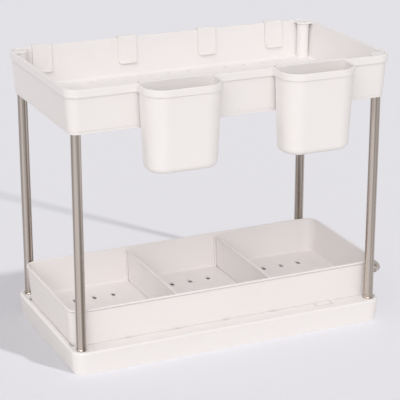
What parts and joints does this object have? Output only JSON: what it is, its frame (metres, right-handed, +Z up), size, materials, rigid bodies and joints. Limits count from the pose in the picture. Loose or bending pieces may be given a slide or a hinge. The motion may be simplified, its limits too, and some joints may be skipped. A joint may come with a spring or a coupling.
{
  "type": "under sink organizer",
  "caption": "Free-standing under sink organizer: a slotted top tray on steel posts over a base, a sliding drawer with lift-out dividers, hanging cups and over-rim hooks.",
  "frame": {"origin": "middle of the base tray, on the surface that the organizer stands on", "axes": "+X along the length towards the drawer's handle, -Y towards the front where the cups hang, +Z up"},
  "size_m": [0.4339, 0.2645, 0.3369],
  "materials": {
    "white_plastic": "warm white moulded plastic, fine satin surface",
    "brushed_steel": "stainless tube and rod, brushed along their length"
  },
  "bodies": {
    "frame": {"base_tray": "white_plastic", "top_tray": "white_plastic", "post_front_left": "brushed_steel", "post_front_right": "brushed_steel", "post_back_left": "brushed_steel", "post_back_right": "brushed_steel", "corner_cap_front_left": "white_plastic", "corner_cap_front_right": "white_plastic", "corner_cap_back_left": "white_plastic", "corner_cap_back_right": "white_plastic"},
    "drawer": {"drawer": "white_plastic", "drawer_handle": "brushed_steel"},
    "divider_left": {"divider_left": "white_plastic"},
    "divider_right": {"divider_right": "white_plastic"},
    "cup_left": {"cup_left": "white_plastic"},
    "cup_right": {"cup_right": "white_plastic"},
    "hook_1": {"hook_1": "white_plastic"},
    "hook_2": {"hook_2": "white_plastic"},
    "hook_3": {"hook_3": "white_plastic"},
    "hook_4": {"hook_4": "white_plastic"}
  },
  "joints": [
    {"name": "drawer_slide", "type": "slide", "parent": "frame", "child": "drawer", "axis": [1, 0, 0], "range_m": [0, 0.28]},
    {"name": "divider_left_lift", "type": "slide", "parent": "drawer", "child": "divider_left", "axis": [0, 0, 1], "range_m": [0, 0.055]},
    {"name": "divider_right_lift", "type": "slide", "parent": "drawer", "child": "divider_right", "axis": [0, 0, 1], "range_m": [0, 0.055]},
    {"name": "cup_left_lift", "type": "slide", "parent": "frame", "child": "cup_left", "axis": [0, 0, 1], "range_m": [0, 0.105]},
    {"name": "cup_right_lift", "type": "slide", "parent": "frame", "child": "cup_right", "axis": [0, 0, 1], "range_m": [0, 0.105]},
    {"name": "hook_1_lift", "type": "slide", "parent": "frame", "child": "hook_1", "axis": [0, 0, 1], "range_m": [0, 0.06]},
    {"name": "hook_2_lift", "type": "slide", "parent": "frame", "child": "hook_2", "axis": [0, 0, 1], "range_m": [0, 0.06]},
    {"name": "hook_3_lift", "type": "slide", "parent": "frame", "child": "hook_3", "axis": [0, 0, 1], "range_m": [0, 0.06]},
    {"name": "hook_4_lift", "type": "slide", "parent": "frame", "child": "hook_4", "axis": [0, 0, 1], "range_m": [0, 0.06]}
  ]
}
